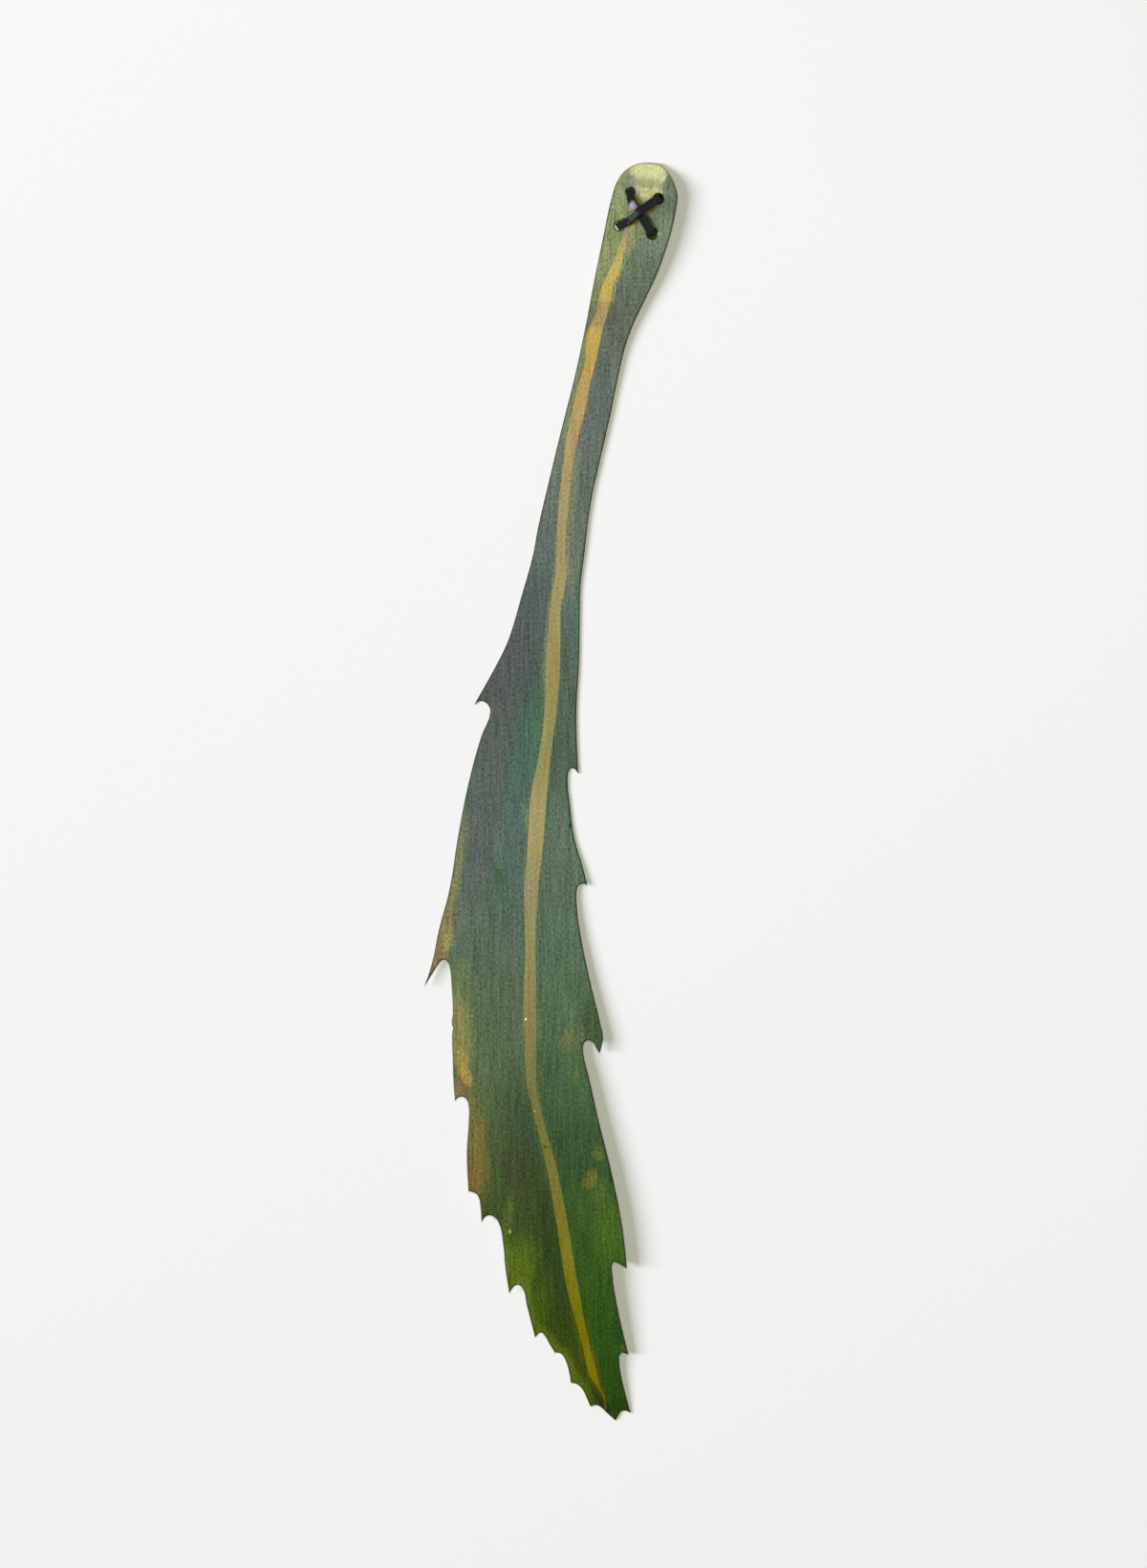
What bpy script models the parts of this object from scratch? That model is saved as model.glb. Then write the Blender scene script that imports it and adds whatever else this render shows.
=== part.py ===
"""A lancewood leaf cut from thin metal sheet, with two cable ties crossed through its top end.

The leaf lies face up: +Y runs from its tip to its round top end, +X to the right, +Z up.
The surface it rests on is z = 0, and the middle of its outline is x = y = 0.
"""
import math

import bmesh
import bpy
from mathutils import Matrix, Vector

MM = 0.001  # sizes below are in millimetres; Blender works in metres

# The sheet
SHEET_THICKNESS = 1.0
OUTLINE_STEPS = 4  # straight steps between two points of the outline

# The lengthwise bend: (y, height of the sheet's underside above the surface), from the tip up.
# Between two of these places the sheet is a flat strip.
TOP_LIFT = 4.3  # the top end stands on the heads of the ties
BEND = [
    # the tip touches the surface, and the lower blade arches up behind it
    (-192.6, 0.0), (-190.5, 0.0), (-185.0, 0.8), (-179.0, 1.6), (-173.0, 2.4), (-167.0, 3.1),
    (-161.0, 3.8), (-154.0, 4.35), (-144.0, 4.75), (-130.0, 4.9), (-115.0, 4.75), (-100.0, 4.4),
    (-85.0, 3.75), (-68.0, 3.0), (-56.0, 2.5), (-44.0, 1.95), (-34.0, 1.4), (-26.0, 0.8),
    (-18.0, 0.3), (-8.0, 0.0),
    # the middle lies flat, and the neck rises to the ties
    (48.0, 0.0), (72.0, 0.3), (104.0, 0.55), (120.0, 0.8), (130.0, 1.1), (138.0, 1.55),
    (144.0, 2.05), (152.0, 2.8), (160.0, 3.6), (168.0, TOP_LIFT), (185.0, TOP_LIFT),
    # the round end turns down past them
    (187.0, 3.7), (189.0, 2.75), (191.0, 1.6), (192.6, 0.6),
]

# The drilled holes, by the corner of the cross of ties they stand at
HOLE_DIAMETER = 3.3
WIDE_HOLE_DIAMETER = 4.0  # the lower right one was opened out
HOLE_STEPS = 6  # straight steps in a quarter of a hole
UPPER_LEFT_HOLE = (24.3, 183.3)
UPPER_RIGHT_HOLE = (33.0, 181.4)
LOWER_LEFT_HOLE = (20.8, 172.7)
LOWER_RIGHT_HOLE = (30.8, 170.8)

# The cable ties: a flat strap, and a head that the strap's tail passes through
STRAP_WIDTH = 2.5
STRAP_THICKNESS = 1.0
GAP = 0.3  # left between the straps, the sheet and each other
HEAD_LENGTH = 4.6
HEAD_WIDTH = 4.6
HEAD_CHAMFER = 0.5
HOLE_OFFSET = 0.4  # a strap stands this far out from the middle of its hole
BEND_RADIUS = 1.05  # where a strap turns out of a hole
CREST_RADIUS = 6.0  # over the crossing on the front
DIP_RADIUS = 2.0  # at the ends of the dip on the back
DIP_SLOPE_LENGTH = 2.2
BEND_STEPS = 6

BACK_Z = TOP_LIFT
FRONT_Z = TOP_LIFT + SHEET_THICKNESS
STRAP_ON_BACK_Z = BACK_Z - GAP - 0.5 * STRAP_THICKNESS  # middle of a strap's thickness
STRAP_ON_FRONT_Z = FRONT_Z + GAP + 0.5 * STRAP_THICKNESS
ROOT_Z = STRAP_ON_BACK_Z - 0.1  # where a strap grows out of its head, just below the head's top

# Each side of the outline from the top end down. The points of a stretch lie on one smooth
# edge, and its last point is sharp: a tooth, a corner, or the tip of the leaf.
LEFT_EDGE = [
    # round top end, handle, and shoulder down to the first tooth
    [(28.0, 192.4), (23.3, 190.4), (20.5, 187.0), (18.8, 182.2), (15.9, 169.0), (13.4, 157.0),
     (10.2, 140.4), (7.0, 125.8), (3.2, 110.8), (-0.4, 95.9), (-4.2, 79.6), (-5.4, 72.9),
     (-9.2, 59.2), (-12.4, 48.2), (-13.7, 44.8), (-17.6, 37.1), (-23.5, 26.6)],
    # notch under it, then the long edge out to the big spine
    [(-22.1, 27.6), (-20.4, 27.4), (-19.0, 26.1), (-18.6, 24.3), (-21.3, 17.0), (-25.3, 2.3),
     (-28.5, -14.0), (-31.0, -29.8), (-34.3, -42.4), (-36.4, -52.6), (-38.7, -59.7)],
    # inner side of the spine, and down to the nick in the edge
    [(-36.7, -56.4), (-34.6, -53.1), (-33.6, -51.8), (-32.6, -51.4), (-31.6, -52.0),
     (-31.0, -53.5), (-30.4, -59.0), (-30.0, -67.8), (-30.2, -71.4), (-29.8, -72.3)],
    [(-30.1, -73.2), (-30.0, -82.0), (-29.7, -90.0), (-29.3, -94.6)],
    # a wide bite
    [(-28.4, -93.6), (-27.1, -93.3), (-25.9, -93.9), (-25.2, -95.6), (-25.1, -100.6),
     (-25.7, -110.5), (-25.2, -122.1)],
    # the small steps and claws of the lower left edge
    [(-23.0, -122.8), (-22.2, -123.7), (-21.5, -127.0), (-21.2, -131.6)],
    [(-20.0, -129.9), (-18.7, -129.5), (-17.2, -130.1), (-16.0, -131.6), (-14.6, -138.2),
     (-13.9, -145.6), (-12.7, -153.4)],
    [(-11.8, -151.8), (-10.8, -150.9), (-9.7, -150.8), (-8.6, -151.8), (-7.4, -156.8),
     (-4.8, -167.0)],
    [(-3.8, -165.8), (-3.0, -165.4), (-2.3, -165.8), (-0.6, -168.6), (1.2, -171.6)],
    [(2.6, -171.7), (3.6, -172.4), (4.5, -174.0), (5.5, -177.3), (6.1, -180.9)],
    [(7.4, -181.1), (8.9, -182.0), (10.1, -183.7), (11.0, -185.7), (12.1, -188.3)],
    [(12.9, -187.8), (14.0, -187.8), (15.2, -188.4), (17.1, -190.2), (19.7, -192.5)],
]
RIGHT_EDGE = [
    # top end, cut with two slight corners
    [(33.2, 192.0)],
    [(36.1, 189.0), (37.9, 185.3), (38.7, 182.0)],
    # handle, waist, and the edge down to the first small tooth
    [(38.3, 178.7), (37.0, 172.2), (35.2, 166.1), (32.0, 157.3), (28.9, 150.8), (25.0, 142.5),
     (22.7, 136.0), (20.5, 126.6), (17.8, 113.5), (14.9, 100.9), (12.3, 89.0), (10.1, 71.7),
     (9.0, 62.6), (8.8, 53.0), (8.6, 40.0), (7.8, 25.0), (8.0, 13.0), (8.4, 5.5)],
    [(6.8, 7.1), (6.1, 7.1), (5.4, 6.1), (5.1, 4.1), (5.8, -4.1), (7.3, -14.9), (9.5, -22.2),
     (11.2, -28.9)],
    [(10.5, -28.3), (9.6, -28.2), (8.5, -28.7), (7.9, -30.1), (7.9, -35.0), (9.0, -43.6),
     (12.0, -58.2), (14.9, -70.2), (15.8, -74.4), (15.8, -76.4), (14.9, -80.0)],
    # the deep hook of the right edge
    [(14.0, -78.7), (13.0, -76.8), (11.7, -76.0), (10.4, -76.4), (9.8, -77.7), (9.9, -80.4),
     (11.6, -87.4), (14.2, -99.1), (18.6, -116.9), (21.5, -131.3), (22.6, -139.5),
     (23.2, -145.7)],
    [(20.0, -143.8), (19.2, -143.6), (18.7, -144.3), (18.7, -147.0), (20.1, -156.6),
     (21.7, -164.0), (23.7, -172.2)],
    [(21.9, -171.6), (21.1, -172.2), (20.9, -174.2), (21.5, -178.7), (23.0, -185.0),
     (24.4, -190.2)],
    # the last bite, up to the tip
    [(22.3, -189.5), (21.3, -189.9), (20.6, -191.0)],
]


def outline_points():
    """Points round the leaf, each with a flag that says whether the edge has a corner there."""
    left = [(point, point is stretch[-1]) for stretch in LEFT_EDGE for point in stretch]
    right = [(point, point is stretch[-1]) for stretch in RIGHT_EDGE[:-1] for point in stretch]
    right += [(point, False) for point in RIGHT_EDGE[-1]]
    return left + right[::-1]


def lift(y):
    """Height of the sheet's underside above the surface, by place along the leaf."""
    for (start_y, start_lift), (end_y, end_lift) in zip(BEND, BEND[1:]):
        if y <= end_y:
            break
    return start_lift + (end_lift - start_lift) * (y - start_y) / (end_y - start_y)


def new_collection(name):
    collection = bpy.data.collections.new(name)
    bpy.context.scene.collection.children.link(collection)
    return collection


def new_object(name, data, collection):
    made = bpy.data.objects.new(name, data)
    collection.objects.link(made)
    return made


def new_material(name, colour, metallic, roughness):
    material = bpy.data.materials.new(name)
    material.use_nodes = True
    shader = material.node_tree.nodes["Principled BSDF"]
    shader.inputs["Base Color"].default_value = (*colour, 1.0)
    shader.inputs["Metallic"].default_value = metallic
    shader.inputs["Roughness"].default_value = roughness
    return material


def add_closed_spline(curve, points, steps):
    """A closed smooth line through points, each with a flag for a sharp corner."""
    spline = curve.splines.new("BEZIER")
    spline.bezier_points.add(len(points) - 1)
    for knot, ((x, y), sharp) in zip(spline.bezier_points, points):
        knot.co = (x * MM, y * MM, 0.0)
        knot.handle_left_type = "VECTOR" if sharp else "AUTO"
        knot.handle_right_type = "VECTOR" if sharp else "AUTO"
    spline.resolution_u = steps
    spline.use_cyclic_u = True


def add_hole(curve, centre, diameter):
    x, y = centre
    radius = 0.5 * diameter
    quarters = [(x + radius, y), (x, y + radius), (x - radius, y), (x, y - radius)]
    add_closed_spline(curve, [(point, False) for point in quarters], HOLE_STEPS)


def make_leaf(collection, material):
    """The flat blank with its holes, then cut into strips and bent lengthwise."""
    curve = bpy.data.curves.new("leaf_blank", "CURVE")
    curve.dimensions = "2D"
    curve.fill_mode = "BOTH"
    curve.extrude = 0.5 * SHEET_THICKNESS * MM
    add_closed_spline(curve, outline_points(), OUTLINE_STEPS)
    for centre in (UPPER_LEFT_HOLE, UPPER_RIGHT_HOLE, LOWER_LEFT_HOLE):
        add_hole(curve, centre, HOLE_DIAMETER)
    add_hole(curve, LOWER_RIGHT_HOLE, WIDE_HOLE_DIAMETER)
    blank = new_object("leaf_blank", curve, collection)

    graph = bpy.context.evaluated_depsgraph_get()
    mesh = bpy.data.meshes.new_from_object(blank.evaluated_get(graph))
    leaf = new_object("leaf_blade", mesh, collection)
    bpy.data.objects.remove(blank)

    solid = bmesh.new()
    solid.from_mesh(mesh)
    bmesh.ops.remove_doubles(solid, verts=solid.verts, dist=0.001 * MM)
    for y, _ in BEND[1:-1]:
        everything = solid.verts[:] + solid.edges[:] + solid.faces[:]
        bmesh.ops.bisect_plane(
            solid, geom=everything, dist=0.0001 * MM, plane_co=(0.0, y * MM, 0.0), plane_no=(0, 1, 0)
        )
    for vertex in solid.verts:
        vertex.co.z += (lift(vertex.co.y / MM) + 0.5 * SHEET_THICKNESS) * MM
    bmesh.ops.recalc_face_normals(solid, faces=solid.faces)
    solid.to_mesh(mesh)
    solid.free()
    mesh.materials.clear()
    mesh.materials.append(material)
    return leaf


def rounded_path(corners):
    """Points along straight runs, each corner (s, z, radius) between them turned by an arc."""
    path = [Vector(corners[0][:2])]
    for before, corner, after in zip(corners, corners[1:], corners[2:]):
        here = Vector(corner[:2])
        backward = (Vector(before[:2]) - here).normalized()
        forward = (Vector(after[:2]) - here).normalized()
        half_angle = 0.5 * backward.angle(forward)
        reach = corner[2] / math.tan(half_angle)
        centre = here + (backward + forward).normalized() * corner[2] / math.sin(half_angle)
        first_arm = (here + backward * reach - centre).normalized()
        last_arm = (here + forward * reach - centre).normalized()
        for step in range(BEND_STEPS + 1):
            arm = first_arm.slerp(last_arm, step / BEND_STEPS)
            path.append(centre + arm * corner[2])
    path.append(Vector(corners[-1][:2]))
    return path


def make_strap(name, corners, collection, material):
    """A flat strap along a path in its own upright plane: a ribbon given thickness."""
    ribbon = bmesh.new()
    half_width = 0.5 * STRAP_WIDTH * MM
    middle = [ribbon.verts.new((s * MM, -half_width, z * MM)) for s, z in rounded_path(corners)]
    for start, end in zip(middle, middle[1:]):
        ribbon.edges.new((start, end))
    side = bmesh.ops.extrude_edge_only(ribbon, edges=ribbon.edges[:])["geom"]
    moved = [item for item in side if isinstance(item, bmesh.types.BMVert)]
    bmesh.ops.translate(ribbon, verts=moved, vec=(0.0, 2.0 * half_width, 0.0))
    mesh = bpy.data.meshes.new(name)
    ribbon.to_mesh(mesh)
    ribbon.free()
    mesh.materials.append(material)
    strap = new_object(name, mesh, collection)
    thickness = strap.modifiers.new("thickness", "SOLIDIFY")
    thickness.thickness = STRAP_THICKNESS * MM
    thickness.offset = 0.0
    thickness.use_even_offset = True
    return strap


def make_head(name, collection):
    """The locking head: a block from the surface up to just under the sheet."""
    height = BACK_Z - GAP
    block = bmesh.new()
    bmesh.ops.create_cube(block, size=1.0)
    bmesh.ops.scale(block, verts=block.verts, vec=(HEAD_LENGTH * MM, HEAD_WIDTH * MM, height * MM))
    bmesh.ops.translate(block, verts=block.verts, vec=(-HOLE_OFFSET * MM, 0.0, 0.5 * height * MM))
    mesh = bpy.data.meshes.new(name)
    block.to_mesh(mesh)
    block.free()
    head = new_object(name, mesh, collection)
    chamfer = head.modifiers.new("chamfer", "BEVEL")
    chamfer.width = HEAD_CHAMFER * MM
    chamfer.segments = 1
    head.hide_render = True
    head.display_type = "WIRE"
    return head


def make_tie(name, head_hole, far_hole, crest, crest_height, back_run, collections, material):
    """One tie. Distances run from its head's hole to the far hole, heights from the surface."""
    collection, cutters = collections
    span = Vector(far_hole) - Vector(head_hole)
    near = -HOLE_OFFSET
    far = span.length + HOLE_OFFSET
    bend_height = FRONT_Z + BEND_RADIUS
    corners = [
        (near, 0.5 * STRAP_THICKNESS),
        (near, bend_height, BEND_RADIUS),
        (crest, crest_height, CREST_RADIUS),
        (far, bend_height, BEND_RADIUS),
        (far, STRAP_ON_BACK_Z, BEND_RADIUS),
        *[(place, height, DIP_RADIUS) for place, height in back_run],
        (near + HEAD_LENGTH / 3.0, ROOT_Z),
    ]
    strap = make_strap(name, corners, collection, material)
    head = make_head(name + "_head", cutters)
    turn = Matrix.Rotation(math.atan2(span.y, span.x), 4, "Z")
    place = Matrix.Translation((head_hole[0] * MM, head_hole[1] * MM, 0.0))
    for piece in (strap, head):
        piece.matrix_world = place @ turn
    joined = strap.modifiers.new("head", "BOOLEAN")
    joined.operation = "UNION"
    joined.solver = "EXACT"
    joined.object = head
    return strap


def crossing_place(start, end, other_start, other_end):
    """Distance from start to where the line to end crosses the other line."""
    line = Vector(end) - Vector(start)
    other = Vector(other_end) - Vector(other_start)
    between = Vector(other_start) - Vector(start)
    return line.length * between.cross(other) / line.cross(other)


def main():
    for leftover in list(bpy.data.objects):
        bpy.data.objects.remove(leftover)
    leaf_parts = new_collection("lancewood_leaf")
    cutters = new_collection("cutters")
    dyed_metal = new_material("dyed_metal", (0.09, 0.14, 0.07), 0.8, 0.4)
    black_nylon = new_material("black_nylon", (0.012, 0.012, 0.012), 0.0, 0.35)

    make_leaf(leaf_parts, dyed_metal)

    # the first tie lies straight along both faces of the sheet
    collections = (leaf_parts, cutters)
    crossing = crossing_place(
        LOWER_RIGHT_HOLE, UPPER_LEFT_HOLE, UPPER_RIGHT_HOLE, LOWER_LEFT_HOLE
    )
    make_tie(
        "cable_tie_under", LOWER_RIGHT_HOLE, UPPER_LEFT_HOLE,
        crossing, STRAP_ON_FRONT_Z, [], collections, black_nylon,
    )

    # the second passes over it on the front, and dips under it on the back
    crossing = crossing_place(
        UPPER_RIGHT_HOLE, LOWER_LEFT_HOLE, LOWER_RIGHT_HOLE, UPPER_LEFT_HOLE
    )
    crest_height = STRAP_ON_FRONT_Z + STRAP_THICKNESS + 2.0 * GAP
    dip_height = STRAP_ON_BACK_Z - STRAP_THICKNESS - GAP
    dip_reach = 0.5 * STRAP_WIDTH + GAP
    slope_reach = dip_reach + DIP_SLOPE_LENGTH
    back_run = [
        (crossing + slope_reach, ROOT_Z),
        (crossing + dip_reach, dip_height),
        (crossing - dip_reach, dip_height),
        (crossing - slope_reach, ROOT_Z),
    ]
    make_tie(
        "cable_tie_over", UPPER_RIGHT_HOLE, LOWER_LEFT_HOLE,
        crossing, crest_height, back_run, collections, black_nylon,
    )


main()
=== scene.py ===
import math

import bmesh
import bpy
import numpy as np
from mathutils import Matrix, Vector
from mathutils.bvhtree import BVHTree
from mathutils.geometry import delaunay_2d_cdt


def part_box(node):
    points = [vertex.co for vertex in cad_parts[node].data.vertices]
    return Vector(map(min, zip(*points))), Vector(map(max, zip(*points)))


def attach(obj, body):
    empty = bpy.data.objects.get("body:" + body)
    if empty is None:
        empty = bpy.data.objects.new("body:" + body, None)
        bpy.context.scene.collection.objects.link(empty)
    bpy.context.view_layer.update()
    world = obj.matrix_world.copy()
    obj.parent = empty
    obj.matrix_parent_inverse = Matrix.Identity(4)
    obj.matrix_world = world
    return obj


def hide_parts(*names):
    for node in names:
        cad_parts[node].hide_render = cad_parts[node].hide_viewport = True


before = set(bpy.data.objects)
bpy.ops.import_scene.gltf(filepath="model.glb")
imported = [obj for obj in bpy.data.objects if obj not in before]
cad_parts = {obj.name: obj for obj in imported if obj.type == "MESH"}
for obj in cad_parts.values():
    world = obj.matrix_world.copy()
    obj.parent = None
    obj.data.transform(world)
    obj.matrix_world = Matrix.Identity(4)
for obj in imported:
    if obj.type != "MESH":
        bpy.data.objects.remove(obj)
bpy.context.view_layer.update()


# ------------------------------------------------------------------ the leaf blade
# A long toothed leaf sawn from one sheet of 1 mm aluminium, with four drilled holes near its
# round end and its edges filed round. Its face is brushed lengthwise and dyed by hand, and it
# is bent so that the round end and the lower blade stand clear of the surface it lies on.

MM = 0.001
SHEET_THICKNESS = 1.0
EDGE_ROUND = 0.3
BACK_FILING = 0.6

# how finely its faces are divided: rings of points beside the cut edges, then an even grid
EDGE_RINGS = (0.08, 0.18, 0.3, 0.55)
RING_CLEARANCE = 0.8
RIM_STEP = 0.6
GRID = 1.5
GRID_CLEARANCE = 0.9
FACING_UP = 0.5
SAME_PLACE = 0.001
INSIDE_OUTLINE = 2
CDT_LIMIT = 0.0001

# the lengthwise bend: (y, height of the sheet's underside), from the tip up
SHEET_BACK = 4.3
BEND = np.array((
    (-192.6, 0.0), (-190.5, 0.0), (-185.0, 0.8), (-179.0, 1.6), (-173.0, 2.4), (-167.0, 3.1),
    (-161.0, 3.8), (-154.0, 4.35), (-144.0, 4.75), (-130.0, 4.9), (-115.0, 4.75), (-100.0, 4.4),
    (-85.0, 3.75), (-68.0, 3.0), (-56.0, 2.5), (-44.0, 1.95), (-34.0, 1.4), (-26.0, 0.8),
    (-18.0, 0.3), (-8.0, 0.0), (48.0, 0.0), (72.0, 0.3), (104.0, 0.55), (120.0, 0.8),
    (130.0, 1.1), (138.0, 1.55), (144.0, 2.05), (152.0, 2.8), (160.0, 3.6), (168.0, SHEET_BACK),
    (185.0, SHEET_BACK), (187.0, 3.7), (189.0, 2.75), (191.0, 1.6), (192.6, 0.6),
))

# the drilled holes and their radii, and the countersink that opens the lower right one
UPPER_LEFT_HOLE = (24.3, 183.3)
UPPER_RIGHT_HOLE = (32.85, 181.2)
LOWER_LEFT_HOLE = (20.93, 172.86)
LOWER_RIGHT_HOLE = (30.8, 170.8)
HOLES = {
    UPPER_LEFT_HOLE: 1.33, UPPER_RIGHT_HOLE: 1.5, LOWER_LEFT_HOLE: 1.4, LOWER_RIGHT_HOLE: 1.5,
}
SINK_PLACE = (31.0, 170.3)
SINK_RADIUS = 1.8
SINK_SLOPE = 1.1
SINK_RINGS = (1.5, 1.65, 1.8, 1.95)
SINK_STEPS = 40

# the dyed midrib: (y, left edge, right edge) from the round end to the tip
MIDRIB = np.array((
    (171.0, 22.4, 23.9), (166.1, 20.7, 22.8), (160.2, 18.4, 21.2), (154.4, 15.6, 18.9),
    (150.0, 14.5, 18.2), (145.6, 13.7, 17.1), (141.8, 11.6, 15.9), (136.8, 10.7, 14.8),
    (132.5, 10.6, 13.9), (125.1, 8.6, 12.0), (117.8, 6.7, 10.7), (104.7, 4.4, 7.5),
    (87.1, 2.3, 5.2), (72.5, 1.7, 4.4), (66.7, 1.3, 4.9), (55.0, -0.4, 2.9), (43.3, -1.3, 2.8),
    (25.7, -1.9, 1.9), (14.0, -3.2, 0.3), (-3.5, -6.4, -1.5), (-15.2, -7.1, -2.3),
    (-32.7, -8.1, -4.1), (-50.3, -7.9, -4.8), (-62.0, -8.4, -4.5), (-88.3, -7.4, -4.6),
    (-100.0, -4.8, -2.5), (-114.6, -1.3, 1.6), (-132.2, 1.8, 5.1), (-149.7, 4.5, 8.0),
    (-167.3, 9.1, 11.3), (-178.9, 12.0, 14.3), (-181.9, 14.0, 14.9), (-186.0, 16.5, 16.8),
))


def smooth_line(places, values, where):
    """Values between given places, along a curve with no corners and no overshoot."""
    slopes = np.diff(values) / np.diff(places)
    before, after = slopes[:-1], slopes[1:]
    turning = before * after <= 0.0
    inner = np.where(turning, 0.0, 2.0 * before * after / np.where(turning, 1.0, before + after))
    slopes = np.concatenate((slopes[:1], inner, slopes[-1:]))
    index = np.clip(np.searchsorted(places, where) - 1, 0, len(places) - 2)
    width = places[index + 1] - places[index]
    along = np.clip((where - places[index]) / width, 0.0, 1.0)
    rise = along * along * (3.0 - 2.0 * along)
    start = along * (1.0 - along) ** 2 * width * slopes[index]
    end = along * along * (along - 1.0) * width * slopes[index + 1]
    return values[index] * (1.0 - rise) + values[index + 1] * rise + start + end


def rim_lines(solid):
    """The outline and the holes as closed lines of points, in millimetres, metal on their left."""
    face = bmesh.new()
    face.from_mesh(solid.data)
    bmesh.ops.remove_doubles(face, verts=face.verts, dist=SAME_PLACE * MM)
    face.normal_update()
    hidden = [part for part in face.faces if part.normal.z < FACING_UP]
    bmesh.ops.delete(face, geom=hidden, context="FACES")
    steps = {}
    for edge in face.edges:
        if edge.is_boundary:
            corner = edge.link_loops[0]
            steps[corner.vert] = corner.link_loop_next.vert
    lines = []
    while steps:
        corner = next(iter(steps))
        line = []
        while corner in steps:
            corner = steps.pop(corner)
            line.append(corner.co.xy / MM)
        lines.append(line)
    face.free()
    return lines


def as_drilled(line):
    """A hole's line made truly round; any other line is left alone."""
    for hole, radius in HOLES.items():
        centre = Vector(hole)
        if max((point - centre).length for point in line) < 2.0 * radius:
            return [centre + (point - centre).normalized() * radius for point in line]
    return line


def with_even_steps(line):
    """The same closed line with points added, so that no step on it is long."""
    points = []
    for start, end in zip(line, line[1:] + line[:1]):
        parts = math.ceil((end - start).length / RIM_STEP)
        points += [start.lerp(end, part / parts) for part in range(parts)]
    return points


def inward_points(line, reach):
    """Points beside a closed line, this far into the metal."""
    for before, here, after in zip(line[-1:] + line[:-1], line, line[1:] + line[:1]):
        along = (here - before).normalized() + (after - here).normalized()
        yield here + Vector((-along.y, along.x)).normalized() * reach


def upright_walls(lines):
    """A search tree of the cut edges, for distances from them."""
    corners, walls = [], []
    for line in lines:
        first = len(corners)
        corners += [Vector((*point, level)) for point in line for level in (-1.0, 1.0)]
        for step in range(0, 2 * len(line), 2):
            following = (step + 2) % (2 * len(line))
            walls.append([first + step, first + step + 1, first + following + 1, first + following])
    return BVHTree.FromPolygons(corners, walls)


def filed_round(distance):
    """How far the face drops towards a cut edge that is this far away."""
    inward = 1.0 - np.minimum(distance / EDGE_ROUND, 1.0)
    return EDGE_ROUND * (1.0 - np.sqrt(1.0 - inward * inward))


def add_values(mesh, name, values):
    """One number for each point, for the mesh's material to read."""
    layer = mesh.attributes.new(name, "FLOAT", "POINT")
    layer.data.foreach_set("value", np.asarray(values, np.float32))


# the flat blank: its rims, rings of points just inside them, and an even grid between
rims = [with_even_steps(as_drilled(rim)) for rim in rim_lines(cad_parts["leaf_blade"])]
cut_edges = upright_walls(rims)
flat_points, rim_steps = [], []
for rim in rims:
    first = len(flat_points)
    flat_points += rim
    rim_steps += [(first + step, first + (step + 1) % len(rim)) for step in range(len(rim))]
for rim in rims:
    for ring in EDGE_RINGS:
        flat_points += [
            point for point in inward_points(rim, ring)
            if cut_edges.find_nearest((*point, 0.0))[3] > RING_CLEARANCE * ring
        ]
for ring in SINK_RINGS:
    for step in range(SINK_STEPS):
        turn = 2.0 * math.pi * step / SINK_STEPS
        point = Vector(SINK_PLACE) + ring * Vector((math.cos(turn), math.sin(turn)))
        if cut_edges.find_nearest((*point, 0.0))[3] > EDGE_RINGS[-1]:
            flat_points.append(point)
leaf_low, leaf_high = [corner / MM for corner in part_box("leaf_blade")]
for x in np.arange(leaf_low.x, leaf_high.x, GRID):
    for y in np.arange(leaf_low.y, leaf_high.y, GRID):
        if cut_edges.find_nearest((x, y, 0.0))[3] > GRID_CLEARANCE:
            flat_points.append(Vector((x, y)))
flat_points, _, triangles, *_ = delaunay_2d_cdt(flat_points, rim_steps, [], INSIDE_OUTLINE, CDT_LIMIT)
middles = np.array([
    np.mean([flat_points[corner] for corner in triangle], axis=0) for triangle in triangles
])
drilled = np.any([np.hypot(*(middles - hole).T) < radius for hole, radius in HOLES.items()], axis=0)
triangles = [triangle for triangle, gone in zip(triangles, drilled) if not gone]

# two faces a sheet's thickness apart, with walls between them along the cut edges
used = sorted({corner for triangle in triangles for corner in triangle})
renumbered = {corner: place for place, corner in enumerate(used)}
front = [[renumbered[corner] for corner in triangle] for triangle in triangles]
back = [[corner + len(used) for corner in reversed(triangle)] for triangle in front]
sides = {step for triangle in front for step in zip(triangle, triangle[1:] + triangle[:1])}
walls = [
    [end, start, start + len(used), end + len(used)] for start, end in sorted(sides)
    if (end, start) not in sides
]
blank = np.array([flat_points[corner] for corner in used])
from_edge = np.array([cut_edges.find_nearest((x, y, 0.0))[3] for x, y in blank])
from_hole = np.full(len(blank), np.inf)
for hole, radius in HOLES.items():
    from_hole = np.minimum(from_hole, np.hypot(*(blank - hole).T) - radius)
from_sink = np.hypot(*(blank - SINK_PLACE).T) - SINK_RADIUS
underside = smooth_line(BEND[:, 0], BEND[:, 1], blank[:, 1])
drop = np.maximum(filed_round(from_edge), -SINK_SLOPE * from_sink)
face_height = underside + SHEET_THICKNESS - drop
back_height = underside + BACK_FILING * filed_round(from_edge)
front_points = np.column_stack((blank, face_height))
back_points = np.column_stack((blank, back_height))
points = np.vstack((front_points, back_points)) * MM

leaf_mesh = bpy.data.meshes.new("leaf_sheet")
leaf_mesh.from_pydata(points.tolist(), [], front + back + walls)
leaf_mesh.shade_smooth()
in_back = [0] * len(front) + [1] * len(back) + [0] * len(walls)
leaf_mesh.polygons.foreach_set("material_index", in_back)
leaf = bpy.data.objects.new("leaf_sheet", leaf_mesh)
bpy.context.scene.collection.objects.link(leaf)

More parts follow.
